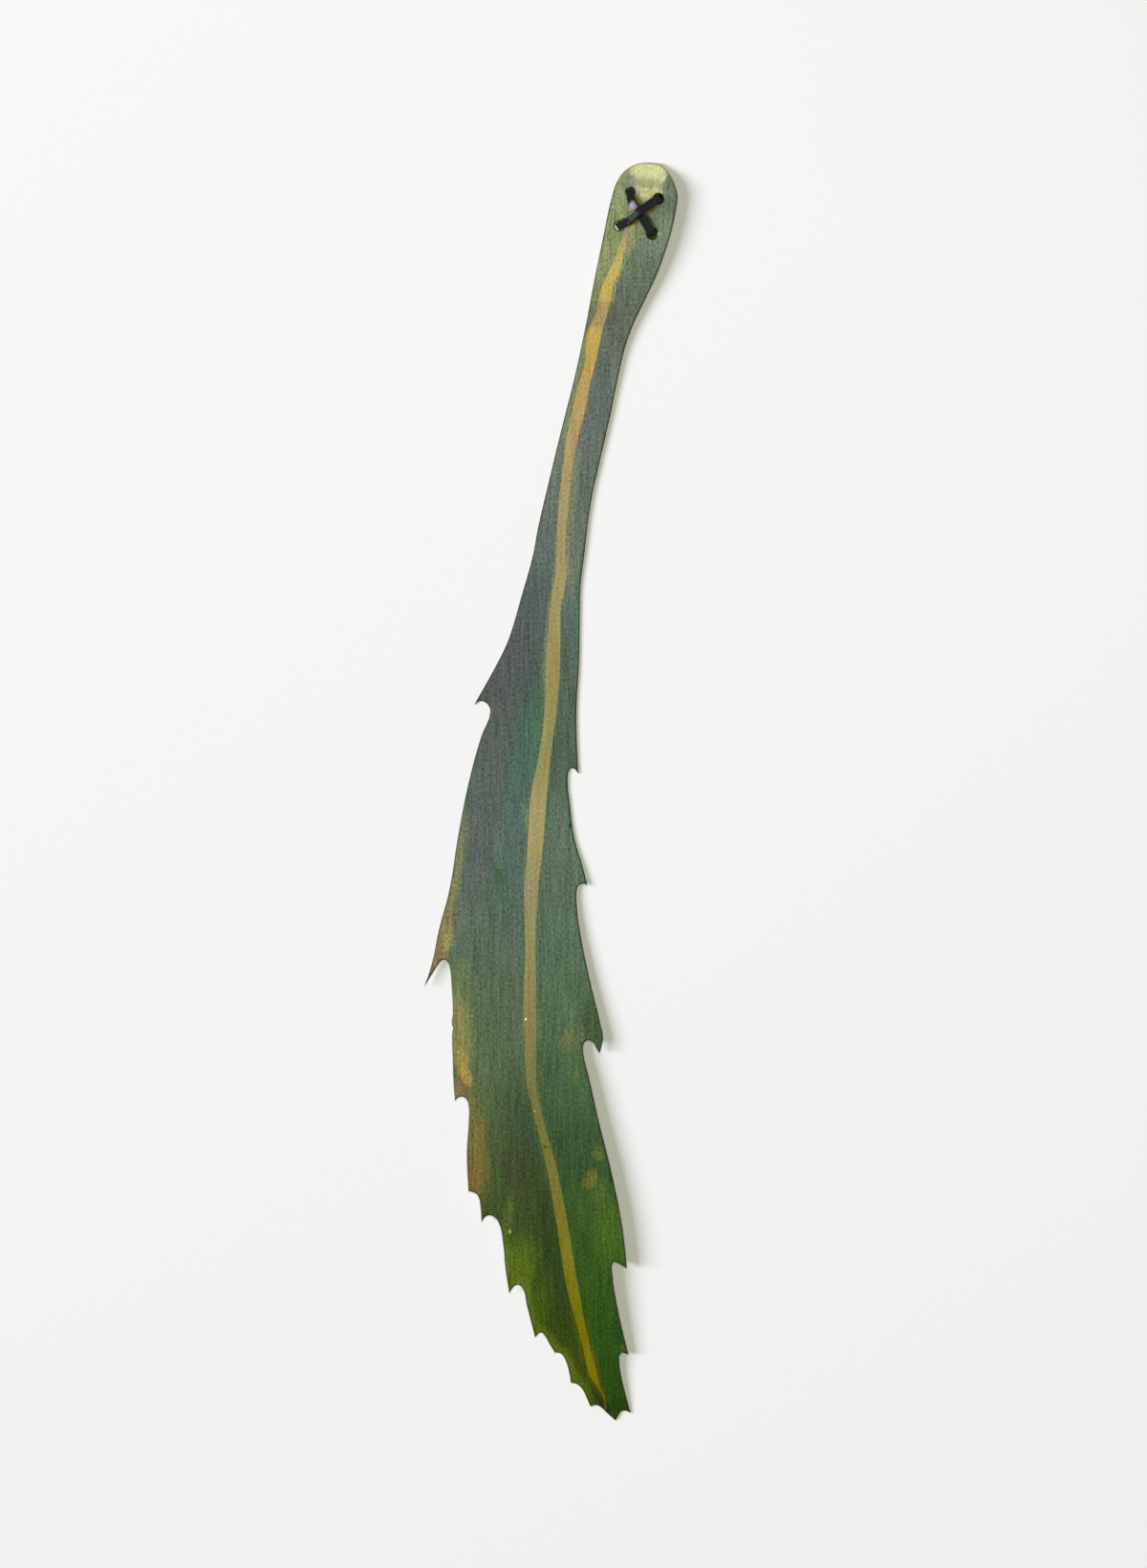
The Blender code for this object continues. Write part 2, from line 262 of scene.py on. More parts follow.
# places the dyes are laid by: distances from the edges, the holes and the midrib
midrib = MIDRIB[::-1] * MM
left_edge = smooth_line(midrib[:, 0], midrib[:, 1], points[:, 1])
right_edge = smooth_line(midrib[:, 0], midrib[:, 2], points[:, 1])
add_values(leaf_mesh, "from_edge", np.tile(from_edge, 2) * MM)
add_values(leaf_mesh, "from_hole", np.tile(from_hole, 2) * MM)
add_values(leaf_mesh, "from_midrib", points[:, 0] - 0.5 * (left_edge + right_edge))
add_values(leaf_mesh, "midrib_half", 0.5 * (right_edge - left_edge))
grain_map = leaf_mesh.uv_layers.new(name="grain")
corner_vertices = np.empty(len(leaf_mesh.loops), np.int32)
leaf_mesh.loops.foreach_get("vertex_index", corner_vertices)
grain_map.uv.foreach_set("vector", points[corner_vertices, :2].astype(np.float32).ravel())

flat_faces = leaf.modifiers.new("flat_faces", "WEIGHTED_NORMAL")
flat_faces.keep_sharp = True


def dye(red, green, blue):
    """A colour given 0 to 255 as the shader's linear values, for dyes as a maker would mix them and
    for painted light and shade alike.
    """
    values = [c / 255.0 for c in (red, green, blue)]
    return (*[c / 12.92 if c <= 0.04045 else ((c + 0.055) / 1.055) ** 2.4 for c in values], 1.0)


def fill_inputs(tree, node, values):
    """Sets inputs to numbers, colours or other nodes' outputs."""
    for name, value in values.items():
        if isinstance(value, bpy.types.NodeSocket):
            tree.links.new(value, node.inputs[name])
        else:
            node.inputs[name].default_value = value


def add_node(tree, kind, values=(), **settings):
    made = tree.nodes.new("ShaderNode" + kind)
    for name, value in settings.items():
        setattr(made, name, value)
    fill_inputs(tree, made, dict(values))
    return made


def number(tree, operation, first, second=0.0, third=0.0):
    return add_node(tree, "Math", {0: first, 1: second, 2: third}, operation=operation).outputs[0]


def vector(tree, operation, first, second=(0.0, 0.0, 0.0)):
    return add_node(tree, "VectorMath", {0: first, 1: second}, operation=operation).outputs[0]


def ease(tree, value, start, end):
    """0 at start, 1 at end, with soft shoulders."""
    values = {"Value": value, "From Min": start, "From Max": end}
    return add_node(tree, "MapRange", values, interpolation_type="SMOOTHSTEP").outputs[0]


def blend(tree, mask, below, above, mode="MIX"):
    values = {0: mask, 6: below, 7: above}
    return add_node(tree, "Mix", values, data_type="RGBA", blend_type=mode).outputs[2]


def noise(tree, place, scale, detail=1.0):
    """Soft random values round zero, of this many waves a metre along x, y and z."""
    stretched = vector(tree, "MULTIPLY", place, scale)
    wave = add_node(tree, "TexNoise", {"Vector": stretched, "Scale": 1.0, "Detail": detail})
    return number(tree, "SUBTRACT", wave.outputs[0], 0.5)


def new_group(name, inputs, outputs):
    """An empty node group: inputs are (name, kind, value), outputs (name, kind)."""
    tree = bpy.data.node_groups.new(name, "ShaderNodeTree")
    for label, kind, value in inputs:
        socket = tree.interface.new_socket(label, in_out="INPUT", socket_type="NodeSocket" + kind)
        socket.default_value = value
    for label, kind in outputs:
        tree.interface.new_socket(label, in_out="OUTPUT", socket_type="NodeSocket" + kind)
    return tree, tree.nodes.new("NodeGroupInput").outputs, tree.nodes.new("NodeGroupOutput").inputs


def place_group(tree, group, values):
    made = tree.nodes.new("ShaderNodeGroup")
    made.node_tree = group
    fill_inputs(tree, made, values)
    return made.outputs


# brushing leaves hair-fine lines lengthwise, in long faint bands, with a fine speckle between
brushing, given, result = new_group(
    "brushing",
    [("Place", "Vector", (0, 0, 0)), ("Streaks", "Float", 0.5), ("Speckle", "Float", 0.5)],
    [("Lines", "Float"), ("Tint", "Float"), ("Height", "Float")],
)
hairs = noise(brushing, given["Place"], (1400, 90, 0))
bands = noise(brushing, given["Place"], (420, 14, 0))
specks = noise(brushing, given["Place"], (1700, 1100, 0))
banded_hairs = number(brushing, "MULTIPLY_ADD", bands, 0.4, hairs)
streaks = number(brushing, "MULTIPLY", banded_hairs, given["Streaks"])
speckle = number(brushing, "MULTIPLY", specks, given["Speckle"])
brushing.links.new(number(brushing, "ADD", streaks, speckle), result["Lines"])
brushing.links.new(noise(brushing, given["Place"], (800, 420, 0)), result["Tint"])
brushing.links.new(hairs, result["Height"])

# one daub of colour, for dyes and for painted light and shade alike: an oval with a soft or crisp rim
daub, given, result = new_group(
    "dye_and_light_daub",
    [("Place", "Vector", (0, 0, 0)), ("Centre", "Vector", (0, 0, 0)),
     ("Size", "Vector", (1, 1, 1000)), ("Turn", "Float", 0.0), ("Rim", "Float", 0.5),
     ("Strength", "Float", 1.0)],
    [("Mask", "Float")],
)
arm = vector(daub, "SUBTRACT", given["Place"], given["Centre"])
turned = add_node(daub, "VectorRotate", {"Vector": arm, "Angle": given["Turn"]}, invert=True)
scaled = vector(daub, "DIVIDE", turned.outputs[0], given["Size"])
reach = add_node(daub, "VectorMath", {0: scaled}, operation="LENGTH").outputs["Value"]
outer = number(daub, "ADD", 1.0, given["Rim"])
inner = number(daub, "SUBTRACT", 1.0, given["Rim"])
oval = ease(daub, reach, outer, inner)
daub.links.new(number(daub, "MULTIPLY", oval, given["Strength"]), result["Mask"])

# a band along the leaf or beside an edge, soft at both ends
band, given, result = new_group(
    "dye_band",
    [("Value", "Float", 0.0), ("Low", "Float", 0.0), ("High", "Float", 1.0), ("Rim", "Float", 0.1)],
    [("Mask", "Float")],
)
low_end = ease(
    band, given["Value"], number(band, "SUBTRACT", given["Low"], given["Rim"]),
    number(band, "ADD", given["Low"], given["Rim"]),
)
high_end = ease(
    band, given["Value"], number(band, "ADD", given["High"], given["Rim"]),
    number(band, "SUBTRACT", given["High"], given["Rim"]),
)
band.links.new(number(band, "MULTIPLY", low_end, high_end), result["Mask"])

# washes along the leaf, each stop (y, dye); a side's wash lies on its half of the face.
# Besides the dyes, the stops carry a painted sheen, most of it towards the round end, where
# they are paler and greyer
LEFT_WASH = (
    (-190, (60, 78, 14)), (-176, (68, 88, 14)), (-150, (56, 78, 22)), (-130, (60, 78, 34)),
    (-110, (70, 88, 48)), (-84, (84, 102, 68)), (-60, (84, 102, 74)), (-20, (90, 108, 90)),
    (5, (81, 98, 83)), (35, (75, 88, 77)), (62, (86, 97, 88)), (95, (106, 117, 101)),
    (118, (124, 128, 93)), (140, (124, 126, 88)), (150, (120, 130, 84)), (162, (136, 148, 95)),
    (172, (131, 145, 94)), (179, (143, 158, 108)), (192, (160, 174, 122)),
)
RIGHT_WASH = (
    (-190, (48, 76, 18)), (-170, (52, 94, 22)), (-140, (54, 84, 28)), (-115, (54, 79, 41)),
    (-95, (66, 90, 56)), (-60, (82, 105, 76)), (-15, (92, 111, 89)), (10, (77, 96, 77)),
    (45, (84, 103, 85)), (60, (94, 112, 94)), (86, (100, 112, 94)), (112, (99, 109, 98)),
    (145, (99, 108, 89)), (160, (107, 121, 97)), (171, (122, 136, 110)), (178, (105, 120, 94)),
    (192, (128, 142, 112)),
)
MIDRIB_WASH = (
    (-188, (126, 114, 6)), (-178, (144, 130, 4)), (-150, (126, 120, 20)), (-124, (120, 114, 40)),
    (-98, (113, 110, 58)), (-60, (136, 130, 80)), (-28, (150, 144, 96)), (-15, (160, 150, 94)),
    (-4, (160, 150, 94)), (7, (143, 137, 82)), (40, (150, 139, 82)), (80, (158, 149, 99)),
    (115, (174, 149, 94)), (132, (184, 156, 80)), (160, (196, 176, 91)), (172, (166, 150, 106)),
)

# daubs: colour, centre, half width, half length, turn in degrees, rim, strength
DAUBS = (
    # the pale round end, where the dye is thin and the sheen of its bent-down end is painted in, and
    # the tints beside it
    ((192, 196, 142), (29.8, 185.8), 4.7, 4.6, 0, 0.3, 0.95),
    ((238, 240, 176), (30.2, 190.6), 6.4, 3.2, 0, 0.4, 0.95),
    ((232, 236, 190), (34.2, 187.4), 0.7, 1.5, -28, 0.6, 0.85),
    ((200, 192, 130), (28.8, 182.9), 1.5, 1.3, 0, 0.5, 0.9),
    ((160, 170, 147), (24.2, 186.2), 2.0, 1.3, 0, 0.6, 0.85),
    ((138, 150, 114), (22.6, 184.0), 1.2, 1.6, 0, 0.6, 0.6),
    ((122, 134, 121), (35.7, 183.2), 1.4, 1.9, -12, 0.5, 0.85),
    # pale rings round the two upper holes: painted highlights on their filed rims
    ((160, 172, 150), (24.4, 183.9), 1.75, 1.75, 0, 0.12, 0.8),
    ((190, 194, 140), (32.6, 181.9), 1.7, 1.7, 0, 0.12, 0.7),
    # green on the lower right hole's countersink
    ((112, 138, 56), (31.0, 170.2), 1.8, 1.85, 0, 0.12, 0.9),
    # an orange-yellow spot left of the crossing
    ((208, 170, 88), (24.15, 178.1), 0.55, 0.85, 8, 0.35, 0.9),
    # painted shade beside the ties: dark olive round the lower ends of both straps and along the
    # lower side of one, and painted shadows in mustard where the straps shade the face
    ((66, 70, 34), (21.95, 173.6), 2.2, 1.6, 35, 0.2, 0.8),
    ((58, 68, 42), (29.5, 173.3), 1.6, 3.0, 28, 0.2, 0.75),
    ((150, 132, 8), (26.75, 181.0), 0.45, 1.5, 22, 0.4, 0.95),
    ((150, 132, 8), (25.0, 173.5), 2.2, 0.65, 33, 0.35, 0.95),
    ((62, 58, 22), (23.7, 172.95), 2.5, 0.4, 35, 0.4, 0.85),
    ((128, 122, 14), (30.5, 177.4), 2.4, 0.7, 33, 0.4, 0.9),
    # the neck
    ((92, 99, 85), (18.8, 145.4), 2.8, 4.0, -15, 0.4, 0.8),
    ((110, 113, 86), (12.2, 145.6), 1.7, 3.6, -15, 0.4, 0.8),
    # the broad blade: violet grey, teal and blue tints
    ((84, 88, 82), (-16.5, 34.0), 8.0, 24.0, -12, 0.7, 0.75),
    ((90, 95, 88), (-20.0, -8.0), 5.5, 26.0, -8, 0.7, 0.7),
    ((69, 104, 82), (-6.5, 14.0), 4.6, 17.0, -8, 0.7, 0.7),
    ((82, 106, 92), (-13.0, -22.0), 4.5, 24.0, -5, 0.7, 0.5),
    ((64, 100, 62), (-16.2, -25.2), 1.2, 1.8, 0, 0.6, 0.7),
    ((56, 98, 58), (-14.6, -27.0), 0.9, 1.2, 0, 0.6, 0.7),
    ((66, 102, 62), (-17.6, -22.6), 0.7, 1.2, 0, 0.6, 0.6),
    ((128, 140, 84), (-7.3, -8.0), 0.5, 3.6, -3, 0.5, 0.6),
    # the big spine and the yellow margin below it
    ((144, 115, 76), (-36.0, -50.0), 3.6, 14.0, -20, 0.6, 0.85),
    ((146, 146, 80), (-31.8, -45.4), 1.3, 4.2, -12, 0.5, 0.65),
    ((104, 120, 72), (-27.4, -57.6), 3.0, 5.4, 0, 0.6, 0.6),
    ((138, 132, 72), (-27.9, -74.0), 3.2, 12.0, 3, 0.4, 0.8),
    ((112, 126, 70), (-24.6, -72.0), 1.6, 9.0, 3, 0.6, 0.5),
    ((160, 146, 74), (-27.4, -82.4), 1.9, 3.6, 6, 0.6, 0.7),
    ((168, 144, 66), (-26.0, -86.8), 1.5, 3.2, 20, 0.3, 0.85),
    ((134, 110, 72), (-28.2, -91.6), 3.2, 3.4, 0, 0.6, 0.75),
    ((114, 106, 48), (-23.0, -108.0), 3.4, 15.0, 4, 0.7, 0.8),
    ((126, 98, 50), (-23.9, -118.6), 2.4, 5.0, 0, 0.7, 0.7),
    # dark greens beside the midrib, and a brown shade
    ((54, 78, 50), (-8.0, -101.0), 5.0, 15.0, 12, 0.7, 0.75),
    ((64, 66, 42), (-10.5, -114.0), 4.2, 12.0, 10, 0.8, 0.7),
    ((48, 68, 28), (0.5, -139.0), 4.6, 26.0, 12, 0.7, 0.8),
    # the right half
    ((84, 112, 78), (5.2, -65.0), 2.6, 5.0, 0, 0.6, 0.6),
    ((104, 110, 68), (6.2, -75.6), 3.0, 4.6, -20, 0.5, 0.8),
    ((76, 106, 58), (7.8, -84.0), 3.4, 7.0, 10, 0.7, 0.6),
    ((98, 114, 60), (7.8, -86.6), 0.9, 2.0, -10, 0.5, 0.7),
    ((66, 84, 48), (12.8, -71.5), 2.4, 8.0, 12, 0.7, 0.85),
    ((88, 106, 46), (14.4, -110.6), 1.7, 2.5, -20, 0.45, 0.8),
    ((108, 108, 44), (12.4, -118.2), 2.0, 3.0, -28, 0.35, 0.85),
    ((72, 106, 36), (9.0, -126.0), 4.0, 8.0, 10, 0.8, 0.15),
    ((73, 105, 32), (18.4, -134.0), 4.6, 11.0, 8, 0.7, 0.8),
    ((44, 88, 32), (20.6, -165.6), 2.4, 4.2, 0, 0.6, 0.8),
    ((60, 92, 32), (19.2, -160.2), 2.4, 3.0, 0, 0.7, 0.5),
    ((88, 92, 36), (21.6, -170.6), 1.5, 0.9, 0, 0.6, 0.8),
    ((88, 104, 46), (14.6, -122.6), 2.2, 3.6, -10, 0.7, 0.5),
    ((98, 116, 72), (8.6, -74.6), 1.2, 3.2, -14, 0.6, 0.55),
    ((92, 114, 76), (6.4, -67.8), 1.2, 2.4, 0, 0.6, 0.5),
    # the lower left margin
    ((92, 108, 48), (-13.4, -130.0), 1.8, 6.0, -12, 0.7, 0.5),
    ((92, 112, 26), (-10.0, -146.0), 4.6, 8.0, -8, 0.8, 0.8),
    ((76, 98, 20), (-4.5, -158.0), 3.6, 8.0, -20, 0.8, 0.7),
    ((170, 166, 44), (-12.6, -134.4), 0.5, 0.6, 0, 0.4, 0.95),
    ((100, 120, 30), (5.0, -176.0), 2.0, 13.0, 34, 0.6, 0.7),
    ((46, 54, 26), (16.2, -187.6), 1.2, 4.6, 37, 0.5, 0.75),
    # a painted glint on a burr of the right edge, and a dark nick on the right edge
    ((170, 190, 110), (22.2, -135.6), 0.3, 2.0, 8, 0.6, 0.7),
    ((44, 58, 44), (6.0, -10.2), 0.35, 1.5, -10, 0.5, 0.85),
)
MIDRIB_MARKS = (
    # two pale specks and a dark dot that lie on the midrib
    ((232, 232, 205), (-7.7, -69.6), 0.3, 0.36, 0, 0.4, 0.95),
    ((180, 178, 120), (-5.0, -97.7), 0.25, 0.3, 0, 0.4, 0.9),
    ((40, 44, 20), (-1.9, -108.5), 0.4, 0.4, 0, 0.4, 0.9),
)
SMALLEST_CREEPING_DAUB = 1.2

# the wedge, the shade over the midrib, and the dye that gathers in the holes and on the edges,
# darkened there as painted shade; the edges have one colour on the side towards the lamp and
# another on the side away from it
WEDGE_GREEN = (142, 149, 100)
MIDRIB_SHADE = (166, 146, 89)
RIM_GREEN_AND_SHADE = (58, 82, 30)
SHADED_EDGE = (40, 52, 26)
LIT_EDGE = (40, 44, 20)
END_EDGE = (150, 142, 62)

# how metallic the face is, and how much less so under thick dye
FACE_METALLIC = 0.8
DYE_DULLS = -0.55

# the wedge beside the top of the midrib: how fast it widens, from where, and its least width
WEDGE_WIDENING = 0.28
WEDGE_FOOT = -44.1
WEDGE_LEAST = 1.0

# how far in from the rim each line of gathered dye and painted shade starts, and where it is full
EDGE_LINE = (0.6, 0.08)
HOLE_LINE = (0.28, 0.12)


def wash(tree, position, stops):
    """A colour that changes along the leaf, from dyes with a painted sheen in them, at chosen places.
    """
    low, high = stops[0][0] * MM, stops[-1][0] * MM
    values = {"Value": position, "From Min": low, "From Max": high}
    ramp = add_node(tree, "ValToRGB", {0: add_node(tree, "MapRange", values).outputs[0]})
    elements = ramp.color_ramp.elements
    for y, colour in stops[1:-1]:
        elements.new((y * MM - low) / (high - low)).color = dye(*colour)
    elements[0].color = dye(*stops[0][1])
    elements[len(elements) - 1].color = dye(*stops[-1][1])
    return ramp.outputs["Color"]


def band_mask(tree, value, low, high, rim):
    values = {"Value": value, "Low": low * MM, "High": high * MM, "Rim": rim * MM}
    return place_group(tree, band, values)["Mask"]


def brushed_metal(name, metallic, streaks, speckle, roughness):
    """A brushed material's node tree, its shader, the place on the leaf, and the grain."""
    material = bpy.data.materials.new(name)
    material.use_nodes = True
    tree = material.node_tree
    shader = tree.nodes["Principled BSDF"]
    shader.inputs["Metallic"].default_value = metallic
    shader.inputs["Anisotropic"].default_value = 0.6
    shader.inputs["Specular IOR Level"].default_value = 0.15
    place = add_node(tree, "TexCoord").outputs["Object"]
    grain = place_group(tree, brushing, {"Place": place, "Streaks": streaks, "Speckle": speckle})
    rough = number(tree, "MULTIPLY_ADD", grain["Lines"], 0.12, roughness)
    relief = {"Strength": 0.2, "Distance": 0.01 * MM, "Height": grain["Height"]}
    bump = add_node(tree, "Bump", relief)
    tangent = add_node(tree, "Tangent", direction_type="UV_MAP", uv_map="grain")
    fill_inputs(tree, shader, {
        "Roughness": rough, "Normal": bump.outputs[0], "Tangent": tangent.outputs[0],
    })
    leaf_mesh.materials.append(material)
    return tree, shader, place, grain


def with_grain(tree, colour, grain, strength, tinting):
    """The colour, lighter and darker along the brushing, with a faint change of tint."""
    green = number(tree, "MULTIPLY_ADD", grain["Lines"], strength, 1.0)
    red = number(tree, "MULTIPLY_ADD", grain["Tint"], tinting, green)
    light = add_node(tree, "CombineColor", {0: red, 1: green, 2: red}).outputs[0]
    return blend(tree, 1.0, colour, light, "MULTIPLY")


def point_value(tree, name):
    return add_node(tree, "Attribute", attribute_name=name).outputs["Fac"]


tree, shader, place, grain = brushed_metal(
    "dyed_brushed_metal_with_painted_light", metallic=FACE_METALLIC, streaks=0.85, speckle=1.35, roughness=0.4,
)
along = add_node(tree, "SeparateXYZ", {0: place}).outputs["Y"]
from_edge, from_hole = point_value(tree, "from_edge"), point_value(tree, "from_hole")
from_midrib, midrib_half = point_value(tree, "from_midrib"), point_value(tree, "midrib_half")

# the dye creeps a little, so no broad daub is a true oval
creep = add_node(tree, "TexNoise", {"Vector": place, "Scale": 210.0, "Detail": 3.0})
either_way = vector(tree, "SUBTRACT", creep.outputs["Color"], (0.5, 0.5, 0.5))
shift = vector(tree, "MULTIPLY", either_way, (2.2 * MM, 3.2 * MM, 0.0))
crept = vector(tree, "ADD", place, shift)
crept_y = add_node(tree, "SeparateXYZ", {0: crept}).outputs["Y"]
right_side = ease(tree, from_midrib, -0.5 * MM, 0.5 * MM)
colour = blend(tree, right_side, wash(tree, crept_y, LEFT_WASH), wash(tree, crept_y, RIGHT_WASH))

# a pale wedge beside the top of the midrib, with a crisp slanting edge on its right
right_of = number(tree, "SUBTRACT", from_midrib, midrib_half)
widening = number(tree, "MULTIPLY_ADD", along, WEDGE_WIDENING, WEDGE_FOOT * MM)
wedge_width = number(tree, "MAXIMUM", widening, WEDGE_LEAST * MM)
wedge = ease(tree, number(tree, "SUBTRACT", right_of, wedge_width), 0.3 * MM, -0.2 * MM)
wedge = number(tree, "MULTIPLY", wedge, right_side)
wedge = number(tree, "MULTIPLY", wedge, band_mask(tree, crept_y, 150.5, 176.0, 1.5))
colour = blend(tree, number(tree, "MULTIPLY", wedge, 0.9), colour, dye(*WEDGE_GREEN))


def with_daubs(colour, daubs):
    """The colour with each daub laid over it in turn, dyes and painted light and shade alike."""
    for tint, centre, half_width, half_length, turn, rim, strength in daubs:
        mask = place_group(tree, daub, {
            "Place": crept if half_width > SMALLEST_CREEPING_DAUB else place,
            "Centre": (centre[0] * MM, centre[1] * MM, 0.0),
            "Size": (half_width * MM, half_length * MM, 1000.0), "Turn": math.radians(turn),
            "Rim": rim, "Strength": strength,
        })["Mask"]
        colour = blend(tree, mask, colour, dye(*tint))
    return colour


colour = with_daubs(colour, DAUBS)

# bands that follow the midrib and the margins: dye, distance, its low, high and rim, the low,
# high and rim of y, and strength
left_of = number(tree, "MULTIPLY", from_midrib, -1.0)
left_of_rib = number(tree, "SUBTRACT", left_of, midrib_half)
beside = number(tree, "SUBTRACT", number(tree, "ABSOLUTE", from_midrib), midrib_half)
left_margin = number(tree, "ADD", from_edge, right_side)
BANDS = (
    ((126, 132, 94), right_of, -1.0, 2.2, 1.0, 62.0, 106.0, 8.0, 0.6),
    ((84, 110, 76), left_of, 0.0, 3.8, 1.0, 8.0, 44.0, 8.0, 0.5),
    ((118, 134, 96), left_of_rib, -1.0, 0.9, 0.4, 32.0, 78.0, 3.0, 0.6),
    ((134, 130, 82), left_margin, -1.0, 2.4, 1.6, -44.0, -10.0, 10.0, 0.8),
    ((104, 122, 36), left_margin, -1.0, 1.8, 1.4, -182.0, -136.0, 5.0, 0.6),
    ((100, 108, 58), beside, -1.0, 1.0, 1.2, -112.0, -60.0, 12.0, 0.35),
    ((90, 94, 18), beside, -1.0, 1.3, 0.5, -184.0, -160.0, 6.0, 0.75),
)
for tint, distance, low, high, rim, y_low, y_high, y_rim, strength in BANDS:
    across_band = band_mask(tree, distance, low, high, rim)
    along_band = band_mask(tree, crept_y, y_low, y_high, y_rim)
    mask = number(tree, "MULTIPLY", number(tree, "MULTIPLY", across_band, along_band), strength)
    colour = blend(tree, mask, colour, dye(*tint))

# the midrib itself, crisp along its sides and dulled where a shade crosses the neck
stripe = ease(tree, beside, 0.26 * MM, -0.2 * MM)
stripe_end = ease(tree, along, 173.0 * MM, 168.5 * MM)
dull = number(tree, "MULTIPLY", band_mask(tree, along, 142.0, 149.8, 0.35), 0.9)
midrib_colour = blend(tree, dull, wash(tree, along, MIDRIB_WASH), dye(*MIDRIB_SHADE))
colour = blend(tree, number(tree, "MULTIPLY", stripe, stripe_end), colour, midrib_colour)
colour = with_daubs(colour, MIDRIB_MARKS)

# dye gathers in a line on the filed edge, and runs down into the holes; both lines are also
# painted shade, and the edge's line takes one colour on the side towards the lamp and another
# on the side away from it
edge_dye_and_shade = blend(tree, right_side, dye(*LIT_EDGE), dye(*SHADED_EDGE))
edge_dye_and_shade = blend(tree, ease(tree, along, 183.0 * MM, 187.0 * MM), edge_dye_and_shade, dye(*END_EDGE))
edge_line = ease(tree, from_edge, EDGE_LINE[0] * MM, EDGE_LINE[1] * MM)
colour = blend(tree, number(tree, "MULTIPLY", edge_line, 0.95), colour, edge_dye_and_shade)
hole_rim_and_shade = ease(tree, from_hole, HOLE_LINE[0] * MM, HOLE_LINE[1] * MM)
colour = blend(tree, hole_rim_and_shade, colour, dye(*RIM_GREEN_AND_SHADE))

# thick dye hides the metal's shine, and the grain is faint on the midrib and the pale end
thick_dye = number(tree, "MAXIMUM", hole_rim_and_shade, number(tree, "MULTIPLY", edge_line, 0.8))
pale_end = ease(tree, along, 183.0 * MM, 188.0 * MM)
on_stripe = number(tree, "MULTIPLY", stripe, 0.55)
smoothed = number(tree, "MAXIMUM", on_stripe, number(tree, "MULTIPLY", pale_end, 0.5))
grain_strength = number(tree, "SUBTRACT", 1.0, smoothed)
covered = number(tree, "MAXIMUM", thick_dye, pale_end)
fill_inputs(tree, shader, {
    "Base Color": with_grain(tree, colour, grain, grain_strength, 0.3),
    "Metallic": number(tree, "MULTIPLY_ADD", covered, DYE_DULLS, FACE_METALLIC),
})

# the back is bare brushed metal, stained where dye ran over the edge
BARE_METAL = (196, 198, 186)
STAIN = (128, 140, 84)
tree, shader, place, grain = brushed_metal(
    "bare_brushed_metal", metallic=0.9, streaks=0.8, speckle=0.5, roughness=0.4,
)
runs = add_node(tree, "TexNoise", {"Vector": place, "Scale": 160.0, "Detail": 4.0}).outputs[0]
stain_reach = number(tree, "MULTIPLY_ADD", runs, 9.0 * MM, -2.0 * MM)
stain = ease(tree, point_value(tree, "from_edge"), stain_reach, 0.0)
colour = blend(tree, number(tree, "MULTIPLY", stain, 0.8), dye(*BARE_METAL), dye(*STAIN))
fill_inputs(tree, shader, {"Base Color": with_grain(tree, colour, grain, 1.0, 0.1)})

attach(leaf, "root")
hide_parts("leaf_blade")


# ------------------------------------------------------------------ the cable ties
# Two small ties moulded in black nylon, threaded up through the holes, crossed on the face and
# locked behind it. Each is one moulding: a strap with teeth between two rails, a smooth root,
# and a square head whose pawl grips the strap's tail.

SHEET_FRONT = SHEET_BACK + SHEET_THICKNESS
STRAP_HALF = 1.25
STRAP_THICKNESS = 1.0
GAP = 0.3
HEAD_OFFSET = 0.4
BEND_RADIUS = 1.05
CREST_RADIUS = 4.0
ARC_STEPS = 12
TOOTH_PITCH = 0.75
STATIONS_PER_TOOTH = 8
TOOTH_RAMP = 0.85
TOOTH_FLOOR = 0.28
TOOTH_HEIGHT = 0.08
UNEVENNESS = 0.04
STEPS_IN_TOOTH_HEIGHT = 5.7
ROOT_CROWN = 0.03
ROOT_RUN_OUT = 0.7
AT_FAR_END = 0.01
HOLE_PLAY = 0.03
SHARP_CORNER = math.radians(35.0)

# a strap starts to bow and lean this far below the face, and does so fully once it has risen
BOW_BELOW_FACE = 0.1
BOW_RISE = 0.7

# the strap's section, clockwise from its left rail: (across, out); the middle three carry teeth
SECTION = np.array((
    (-1.25, 0.25), (-1.19, 0.465), (-0.88, 0.5), (-0.8, 0.2), (0.0, 0.2), (0.8, 0.2),
    (0.88, 0.5), (1.19, 0.465), (1.25, 0.25), (1.25, -0.4), (1.15, -0.5), (-1.15, -0.5),
    (-1.25, -0.4),
))
TOOTHED = slice(3, 6)
RAILS = [1, 2, 6, 7]

# the head, in the tie's own upright plane: outside, window, and the pawl's (along, height)
HEAD_NEAR, HEAD_FAR, HEAD_HALF, HEAD_TOP = -2.7, 1.9, 2.3, SHEET_BACK - GAP
WINDOW_NEAR, WINDOW_FAR, WINDOW_HALF = -1.8, 0.25, 1.45
HEAD_BEVEL = 0.22
BEVEL_STEPS = 3
HEAD_RUB = 0.3
PAWL = ((-1.85, 3.2), (-1.85, 0.9), (-1.02, 1.7), (-0.94, 2.05), (-1.05, 2.3))
TAIL_END = 0.15
ROOT_PLACE, ROOT_HEIGHT = 1.13, 3.4


